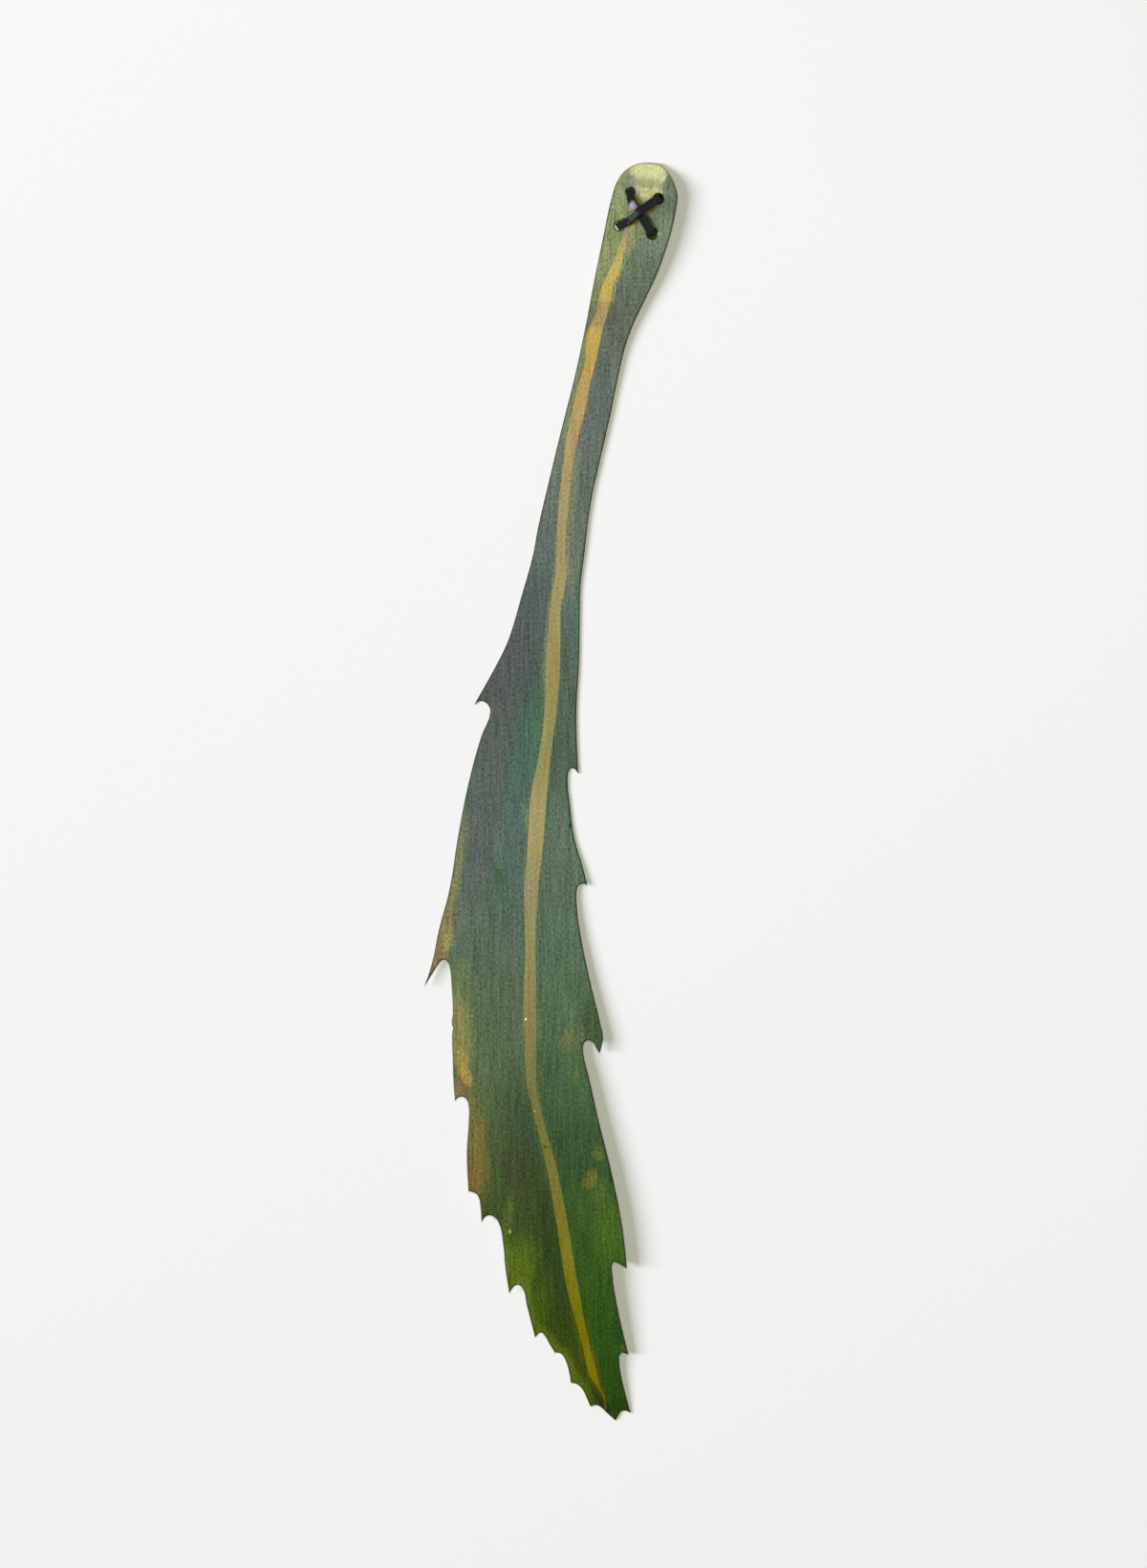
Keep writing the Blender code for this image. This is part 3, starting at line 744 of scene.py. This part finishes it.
def even_path(corners):
    """Points at even steps along straight runs, each corner (along, height, radius) rounded."""
    path = [Vector(corners[0])]
    for before, corner, after in zip(corners, corners[1:], corners[2:]):
        here = Vector(corner[:2])
        backward = (Vector(before[:2]) - here).normalized()
        forward = (Vector(after[:2]) - here).normalized()
        half_angle = 0.5 * backward.angle(forward)
        centre = here + (backward + forward).normalized() * corner[2] / math.sin(half_angle)
        reach = corner[2] / math.tan(half_angle)
        first_arm = (here + backward * reach - centre).normalized()
        last_arm = (here + forward * reach - centre).normalized()
        path += [
            centre + first_arm.slerp(last_arm, step / ARC_STEPS) * corner[2]
            for step in range(ARC_STEPS + 1)
        ]
    path = np.array(path + [Vector(corners[-1])])
    travelled = np.concatenate(((0.0,), np.cumsum(np.hypot(*np.diff(path, axis=0).T))))
    stations = np.arange(0.0, travelled[-1], TOOTH_PITCH / STATIONS_PER_TOOTH)
    return np.column_stack([np.interp(stations, travelled, line) for line in path.T]), stations


def soft_step(value):
    """0 up to 0, 1 from 1 on, with soft shoulders between."""
    limited = np.clip(value, 0.0, 1.0)
    return limited * limited * (3.0 - 2.0 * limited)


def strap_shape(corners, holes, root_start, bow, roll):
    """The strap's points (along, across, height) and faces, its rub, and how smooth it is."""
    path, travelled = even_path(corners)
    run = np.gradient(path, axis=0)
    run /= np.hypot(*run.T)[:, None]
    place, height = path.T

    # saw teeth, no two quite the same height, that run out into the smooth root
    smooth = np.where(height > SHEET_BACK, soft_step((place - root_start) / ROOT_RUN_OUT), 0.0)
    turning = np.argmax(place > place.max() - AT_FAR_END)
    smooth[turning:] = 1.0
    tooth = travelled / TOOTH_PITCH
    phase = tooth % 1.0
    falling = 1.0 - phase / TOOTH_RAMP
    climbing = (phase - TOOTH_RAMP) / (1.0 - TOOTH_RAMP)
    saw = np.where(phase < TOOTH_RAMP, falling, climbing)
    uneven = np.sin(STEPS_IN_TOOTH_HEIGHT * np.floor(tooth))
    level = TOOTH_FLOOR + TOOTH_HEIGHT * saw + UNEVENNESS * uneven
    across = np.tile(SECTION[:, 0], (len(path), 1))
    out = np.tile(SECTION[:, 1], (len(path), 1))
    out[:, TOOTHED] = (level * (1.0 - smooth) + 0.5 * STRAP_THICKNESS * smooth)[:, None]
    out[:, TOOTHED.start + 1] += ROOT_CROWN * smooth

    # where it stands in a hole, the wall presses it in
    upright = run[:, 1] ** 2
    for centre, outward, radius in holes:
        off_centre = outward * (place - centre)
        room = np.sqrt((radius - HOLE_PLAY) ** 2 - across ** 2) - off_centre[:, None]
        pressed = np.where(np.abs(off_centre) < radius, upright, 0.0)
        out += (np.minimum(out, room) - out) * pressed[:, None]

    # on the face it bows sideways and leans
    on_face = soft_step((height - SHEET_FRONT + BOW_BELOW_FACE) / BOW_RISE)
    angle = (roll(place) * on_face)[:, None]
    across, out = (
        across * np.cos(angle) + out * np.sin(angle), out * np.cos(angle) - across * np.sin(angle)
    )
    across = across + (bow(place) * on_face)[:, None]
    points = np.dstack((
        place[:, None] - out * run[:, 1:], across, height[:, None] + out * run[:, :1]
    ))

    # faces between each section and the next, and one at each end
    count = len(SECTION)
    last = count * (len(path) - 1)
    faces = []
    for start in range(0, last, count):
        following = start + count
        for step in range(count):
            other = (step + 1) % count
            faces.append([start + step, following + step, following + other, start + other])
    faces += [list(range(count)), list(reversed(range(last, last + count)))]
    rub = np.zeros_like(across)
    rub[:, RAILS] = 1.0
    return points.reshape(-1, 3), faces, np.repeat(smooth, count), rub.ravel()


def head_shape():
    """The locking head's points and faces: a square block with a window, and the pawl in it."""
    head = bmesh.new()
    rings = []
    for level in (0.0, HEAD_TOP):
        for near, far, half in (
            (HEAD_NEAR, HEAD_FAR, HEAD_HALF), (WINDOW_NEAR, WINDOW_FAR, WINDOW_HALF),
        ):
            corners = ((near, -half), (far, -half), (far, half), (near, half))
            rings.append([head.verts.new((*corner, level)) for corner in corners])
    low_outside, low_window, high_outside, high_window = rings
    for side in range(4):
        other = (side + 1) % 4
        for first, second in (
            (low_outside, high_outside), (high_outside, high_window),
            (high_window, low_window), (low_window, low_outside),
        ):
            head.faces.new((first[side], first[other], second[other], second[side]))
    head.normal_update()
    corners = [edge for edge in head.edges if edge.calc_face_angle() > SHARP_CORNER]
    bmesh.ops.bevel(
        head, geom=corners, offset=HEAD_BEVEL, segments=BEVEL_STEPS, profile=0.5, affect="EDGES",
    )

    flank = [head.verts.new((along, -WINDOW_HALF, height)) for along, height in PAWL]
    side = head.faces.new(flank)
    grown = bmesh.ops.extrude_face_region(head, geom=[side])["geom"]
    moved = [item for item in grown if isinstance(item, bmesh.types.BMVert)]
    bmesh.ops.translate(head, verts=moved, vec=(0.0, 2.0 * WINDOW_HALF, 0.0))
    bmesh.ops.recalc_face_normals(head, faces=head.faces)
    points = np.array([vertex.co for vertex in head.verts])
    head.verts.index_update()
    faces = [[vertex.index for vertex in face.verts] for face in head.faces]
    head.free()
    return points, faces


def crossing_place(start, end, other_start, other_end):
    """Distance from start to where the line to end crosses the other line."""
    line = Vector(end) - Vector(start)
    other = Vector(other_end) - Vector(other_start)
    between = Vector(other_start) - Vector(start)
    return line.length * between.cross(other) / line.cross(other)


def make_tie(name, head_hole, far_hole, front_run, back_run, root_start, bow, roll):
    """One tie, from the tail in its head up, over the face, down the far hole and back.

    Each corner of a run is how far it is from the head's hole, the height of the middle of the
    strap's thickness, and the radius it bends to.
    """
    span = Vector(far_hole) - Vector(head_hole)
    far = front_run[-1][0]
    corners = [
        (-HEAD_OFFSET, TAIL_END),
        (-HEAD_OFFSET, SHEET_FRONT + BEND_RADIUS, BEND_RADIUS),
        *front_run,
        (far, SHEET_BACK - GAP - 0.5 * STRAP_THICKNESS, BEND_RADIUS),
        *back_run,
        (ROOT_PLACE, ROOT_HEIGHT),
    ]
    holes = ((0.0, -1.0, HOLES[head_hole]), (span.length, 1.0, HOLES[far_hole]))
    points, faces, smooth, rub = strap_shape(corners, holes, root_start, bow, roll)
    head_points, head_faces = head_shape()
    faces += [[corner + len(points) for corner in face] for face in head_faces]
    ones = np.ones(len(head_points))
    mesh = bpy.data.meshes.new(name)
    mesh.from_pydata(np.vstack((points, head_points)).tolist(), [], faces)
    add_values(mesh, "smooth_root", np.concatenate((smooth, ones)))
    add_values(mesh, "rub", np.concatenate((rub, HEAD_RUB * ones)))
    turn = Matrix.Rotation(math.atan2(span.y, span.x), 4, "Z")
    place = Matrix.Translation((*head_hole, 0.0))
    mesh.transform(Matrix.Scale(MM, 4) @ place @ turn)
    mesh.shade_smooth()
    mesh.set_sharp_from_angle(angle=SHARP_CORNER)
    mesh.materials.append(nylon)
    tie = bpy.data.objects.new(name, mesh)
    bpy.context.scene.collection.objects.link(tie)
    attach(tie, "root")
    return tie


# black nylon: satin where it is toothed, glossier on the smooth root, rubbed grey on the rails
COOL_BLACK = (0.003, 0.0032, 0.0036, 1.0)
WARM_BLACK = (0.009, 0.0065, 0.0045, 1.0)
RUBBED_GREY = (0.02, 0.019, 0.018, 1.0)

nylon = bpy.data.materials.new("black_nylon")
nylon.use_nodes = True
tree = nylon.node_tree
shader = tree.nodes["Principled BSDF"]
place = add_node(tree, "TexCoord").outputs["Object"]
smooth_root = point_value(tree, "smooth_root")
cloud = noise(tree, place, (900, 900, 900), 3.0)
pores = noise(tree, place, (5200, 5200, 5200), 2.0)
rubbed = number(tree, "MULTIPLY", point_value(tree, "rub"), ease(tree, cloud, -0.1, 0.25))
warmer = ease(tree, cloud, -0.2, 0.2)
tinted = blend(tree, warmer, COOL_BLACK, WARM_BLACK)
polished = number(tree, "MAXIMUM", smooth_root, point_value(tree, "rub"))
gloss = number(tree, "MULTIPLY_ADD", polished, -0.2, 0.4)
bump = add_node(tree, "Bump", {"Strength": 0.35, "Distance": 0.012 * MM, "Height": pores})
fill_inputs(tree, shader, {
    "Base Color": blend(tree, number(tree, "MULTIPLY", rubbed, 0.6), tinted, RUBBED_GREY),
    "Roughness": number(tree, "MULTIPLY_ADD", cloud, 0.2, gloss),
    "Normal": bump.outputs[0],
})
shader.inputs["Specular IOR Level"].default_value = 0.35

# how far each strap reaches, and how far along it the two cross
under_holes = (LOWER_RIGHT_HOLE, UPPER_LEFT_HOLE)
over_holes = (UPPER_RIGHT_HOLE, LOWER_LEFT_HOLE)
under_span = math.dist(*under_holes)
over_span = math.dist(*over_holes)
under_crossing = crossing_place(*under_holes, *over_holes)
over_crossing = crossing_place(*over_holes, *under_holes)

# the first tie lies on the face; its upper arm bows down to the left and leans that way, each
# place a share of its span
UNDER_BOW = np.array((
    (-0.05, 0.0), (0.0, 0.05), (0.15, 0.27), (0.41, 0.62), (0.55, 0.82), (0.7, 0.95), (0.8, 0.95),
    (0.9, 0.82), (0.947, 0.6), (1.04, 0.0),
))
UNDER_LEAN = math.radians(15.5)
LEAN_START, LEAN_RISE = 0.55, 0.07
LEAN_END, LEAN_FALL = 0.92, 0.16


def under_bow(place):
    shares, reach = UNDER_BOW.T
    return smooth_line(shares, reach, np.clip(place / under_span, shares[0], shares[-1]))


def under_roll(place):
    share = place / under_span
    rising = soft_step((share - LEAN_START) / LEAN_RISE)
    return UNDER_LEAN * rising * soft_step((LEAN_END - share) / LEAN_FALL)


under = make_tie(
    "tie_under", *under_holes,
    front_run=[
        (under_crossing, 6.3, CREST_RADIUS), (under_span - 1.8, 5.9, 1.6),
        (under_span + 0.85, 4.9, 0.5),
    ],
    back_run=[], root_start=under_crossing, bow=under_bow, roll=under_roll,
)
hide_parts("cable_tie_under")

# the second passes over it on the face, and dips under it behind the sheet
DIP_RADIUS = 2.0
DIP_SLOPE = 2.2
CREST_HEIGHT = 7.64
ROOT_LENGTH = 3.45
dip_height = SHEET_BACK - 2.0 * GAP - 1.5 * STRAP_THICKNESS
dip_reach = STRAP_HALF + GAP

# its bow and lean start by the crossing, and the lean is gone before the far hole
OVER_BOW = 0.2
OVER_BOW_START, OVER_BOW_RISE = over_crossing + 0.5, 3.0
OVER_LEAN = math.radians(-2.5)
OVER_LEAN_START, OVER_LEAN_RISE = over_crossing - 0.5, 2.0
OVER_LEAN_END, OVER_LEAN_FALL = over_span - 2.75, 0.9


def over_bow(place):
    return OVER_BOW * soft_step((place - OVER_BOW_START) / OVER_BOW_RISE)


def over_roll(place):
    rising = soft_step((place - OVER_LEAN_START) / OVER_LEAN_RISE)
    return OVER_LEAN * rising * soft_step((OVER_LEAN_END - place) / OVER_LEAN_FALL)


over = make_tie(
    "tie_over", *over_holes,
    front_run=[
        (over_crossing + 0.9, CREST_HEIGHT, CREST_RADIUS), (over_span - 3.15, 6.7, 1.5),
        (over_span + 0.35, 5.0, 0.6),
    ],
    back_run=[
        (over_crossing + dip_reach + DIP_SLOPE, ROOT_HEIGHT, DIP_RADIUS),
        (over_crossing + dip_reach, dip_height, DIP_RADIUS),
        (over_crossing - dip_reach, dip_height, DIP_RADIUS),
        (over_crossing - dip_reach - DIP_SLOPE, ROOT_HEIGHT, DIP_RADIUS),
    ],
    root_start=over_span - ROOT_LENGTH, bow=over_bow, roll=over_roll,
)
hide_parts("cable_tie_over")


# ------------------------------------------------------------------ the studio
# A wide pale table under one large soft lamp from the left, a smaller one overhead and even
# light all round, with a camera that looks straight down on the middle of the leaf.

FLOOR_SIZE = 6.0
PAPER_TONE = 0.923
PAPER_DARKEST, PAPER_PALEST = 0.85, 0.95
PAPER_SLANT = (0.11, 0.1, 0.0)
CAMERA_PLACE = (0.0069, 0.0023, 2.667)
LENS = 200.0
KEY_DISTANCE = 5.0
KEY_ELEVATION = math.radians(43.0)
KEY_SIZE = (0.62, 2.9)
KEY_WATTS = 226.0
KEY_COLOUR = (0.86, 0.85, 1.0)
TOP_PLACE = (0.0, 0.15, 3.1)
TOP_SIZE = (0.5, 0.5)
TOP_WATTS = 36.5
TOP_COLOUR = (0.99, 1.0, 0.75)
ROOM_LIGHT = 0.1
ROOM_IN_METAL = 0.48
BACKDROP = 0.92

floor_mesh = bpy.data.meshes.new("floor")
plane = bmesh.new()
bmesh.ops.create_grid(plane, x_segments=1, y_segments=1, size=0.5 * FLOOR_SIZE)
plane.to_mesh(floor_mesh)
plane.free()
floor = bpy.data.objects.new("floor", floor_mesh)
bpy.context.scene.collection.objects.link(floor)

# the table's paper, its tone painted paler towards its far right, away from the large lamp, to
# even out the lamp's fall-off, and paler towards the top
paper = bpy.data.materials.new("pale_paper")
paper.use_nodes = True
tree = paper.node_tree
shader = tree.nodes["Principled BSDF"]
shader.inputs["Roughness"].default_value = 0.9
shader.inputs["Specular IOR Level"].default_value = 0.0
place = add_node(tree, "TexCoord").outputs["Object"]
slant = add_node(tree, "VectorMath", {0: place, 1: PAPER_SLANT}, operation="DOT_PRODUCT")
tone = number(tree, "ADD", slant.outputs["Value"], PAPER_TONE)
tone = number(tree, "MINIMUM", number(tree, "MAXIMUM", tone, PAPER_DARKEST), PAPER_PALEST)
tree.links.new(tone, shader.inputs["Base Color"])
floor_mesh.materials.append(paper)

# white walls: dim as a light, brighter where glossy surfaces show them, and pale behind the table
world = bpy.data.worlds.new("studio")
bpy.context.scene.world = world
world.use_nodes = True
room = world.node_tree
background = room.nodes["Background"]
background.inputs["Color"].default_value = (1.0, 1.0, 1.0, 1.0)
ray = add_node(room, "LightPath").outputs
in_metal = number(
    room, "MULTIPLY_ADD", ray["Is Glossy Ray"], ROOM_IN_METAL - ROOM_LIGHT, ROOM_LIGHT,
)
seen = number(room, "MULTIPLY_ADD", ray["Is Camera Ray"], BACKDROP - ROOM_LIGHT, in_metal)
room.links.new(seen, background.inputs["Strength"])


def add_lamp(name, place, size, watts, colour):
    data = bpy.data.lights.new(name, "AREA")
    data.shape = "RECTANGLE"
    data.size, data.size_y = size
    data.energy = watts
    data.color = colour
    lamp = bpy.data.objects.new(name, data)
    lamp.location = place
    lamp.rotation_euler = (-Vector(place)).to_track_quat("-Z", "Y").to_euler()
    bpy.context.scene.collection.objects.link(lamp)
    return lamp


key_place = (-KEY_DISTANCE * math.cos(KEY_ELEVATION), 0.0, KEY_DISTANCE * math.sin(KEY_ELEVATION))
add_lamp("key_lamp", key_place, KEY_SIZE, KEY_WATTS, KEY_COLOUR)

# the lamp overhead shows in nothing glossy
top_lamp = add_lamp("top_lamp", TOP_PLACE, TOP_SIZE, TOP_WATTS, TOP_COLOUR)
top_lamp.visible_glossy = False

camera_data = bpy.data.cameras.new("camera")
camera_data.lens = LENS
camera = bpy.data.objects.new("camera", camera_data)
camera.location = CAMERA_PLACE
bpy.context.scene.collection.objects.link(camera)
bpy.context.scene.camera = camera
bpy.context.scene.view_settings.view_transform = "Standard"
